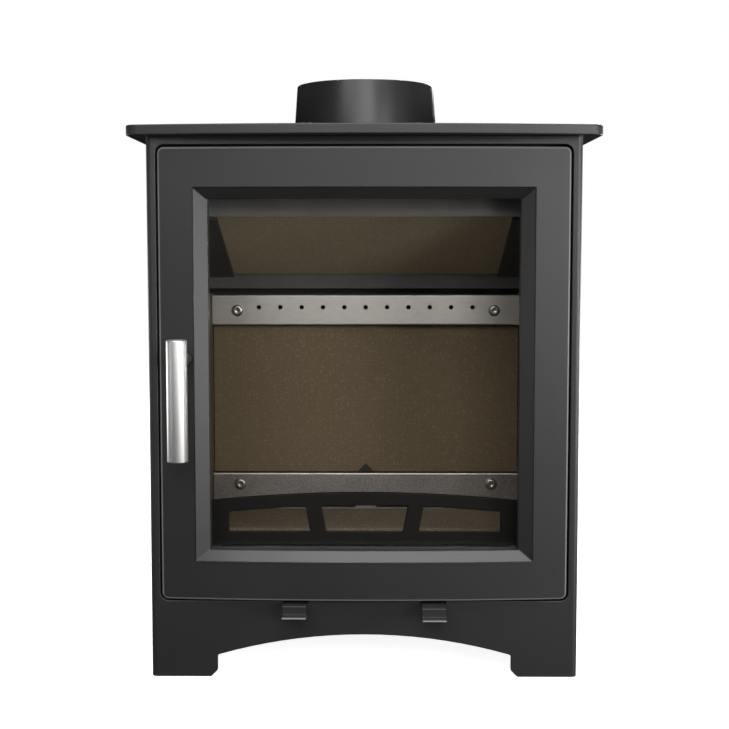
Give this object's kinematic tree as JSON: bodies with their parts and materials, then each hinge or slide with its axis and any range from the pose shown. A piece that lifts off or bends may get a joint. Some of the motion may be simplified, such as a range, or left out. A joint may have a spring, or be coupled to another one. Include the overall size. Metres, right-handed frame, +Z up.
{
  "type": "multi-fuel stove",
  "caption": "Free-standing steel multi-fuel stove with an inset glazed door, side bar handle, brick lined firebox, air controls and a round top flue collar.",
  "frame": {"origin": "middle of the stove's footprint box, on the floor", "axes": "+Z up, the door and handle face -Y, +X to the right of someone who looks at the door"},
  "size_m": [0.437, 0.3842, 0.5704],
  "materials": {
    "black_paint": "satin heat-resistant stove paint",
    "black_cast": "matt black cast iron",
    "dark_steel": "heat-darkened painted steel",
    "bar_steel": "brushed stainless steel",
    "blasted_steel": "sandblasted stainless steel",
    "handle_steel": "fine brushed stainless steel",
    "spindle_steel": "blackened steel",
    "screw_steel": "plain steel",
    "zinc_steel": "zinc-plated steel",
    "fire_brick": "pressed vermiculite board",
    "stove_glass": "clear heat-resistant glass with an amber cast",
    "glass_fibre": "braided black glass fibre"
  },
  "bodies": {
    "stove_body": {"front_plate": "black_paint", "left_side_panel": "black_paint", "right_side_panel": "black_paint", "back_panel": "black_paint", "rear_outlet_plate": "black_paint", "rear_outlet_screws": "zinc_steel", "top_plate": "black_paint", "flue_collar": "black_cast", "collar_screws": "zinc_steel", "door_seat_frame": "black_paint", "latch_keeper": "dark_steel", "hinge_arms": "black_paint", "firebox_floor": "dark_steel", "air_box": "dark_steel", "slide_guides": "dark_steel", "left_brick": "fire_brick", "right_brick": "fire_brick", "rear_brick": "fire_brick", "rear_air_plate": "dark_steel", "rear_ledge": "dark_steel", "upper_air_bar": "bar_steel", "upper_bar_screws": "screw_steel", "lower_air_bar": "blasted_steel", "lower_bar_screws": "screw_steel", "brick_tab": "dark_steel", "airwash_strip": "dark_steel", "baffle_board": "fire_brick", "baffle_rails": "dark_steel", "grate_carrier": "dark_steel", "grate": "black_cast", "bed_brick": "fire_brick", "fuel_retainer": "black_cast"},
    "door": {"door_frame": "black_paint", "glass": "stove_glass", "glass_gasket": "glass_fibre", "glass_clips": "zinc_steel", "clip_screws": "zinc_steel", "rope_seal": "glass_fibre", "hinge_pins": "zinc_steel", "spindle_bush": "zinc_steel"},
    "handle": {"handle_bar": "handle_steel", "handle_spindle": "spindle_steel", "spindle_collar": "zinc_steel", "latch_cam": "zinc_steel", "cam_screw": "zinc_steel"},
    "left_slide": {"left_air_slide": "black_paint"},
    "right_slide": {"right_air_slide": "black_paint"},
    "ash_drawer": {"ash_pan": "dark_steel", "ash_pan_handle": "dark_steel"}
  },
  "joints": [
    {"name": "door_swing", "type": "hinge", "parent": "stove_body", "child": "door", "pos_m": [0.181, -0.11987, 0.2877], "axis": [0, 0, 1], "range_deg": [0, 90]},
    {"name": "handle_turn", "type": "hinge", "parent": "door", "child": "handle", "pos_m": [-0.1663, -0.11787, 0.302], "axis": [0, 1, 0], "range_deg": [0, 90]},
    {"name": "left_air_pull", "type": "slide", "parent": "stove_body", "child": "left_slide", "axis": [0, -1, 0], "range_m": [0, 0.024]},
    {"name": "right_air_pull", "type": "slide", "parent": "stove_body", "child": "right_slide", "axis": [0, -1, 0], "range_m": [-0.008, 0.016]},
    {"name": "ash_pan_pull", "type": "slide", "parent": "stove_body", "child": "ash_drawer", "axis": [0, -1, 0], "range_m": [0, 0.0629]}
  ],
  "couplings": [
    {"joint": "ash_pan_pull", "follows": "door_swing", "m_per_rad": 0.04}
  ]
}
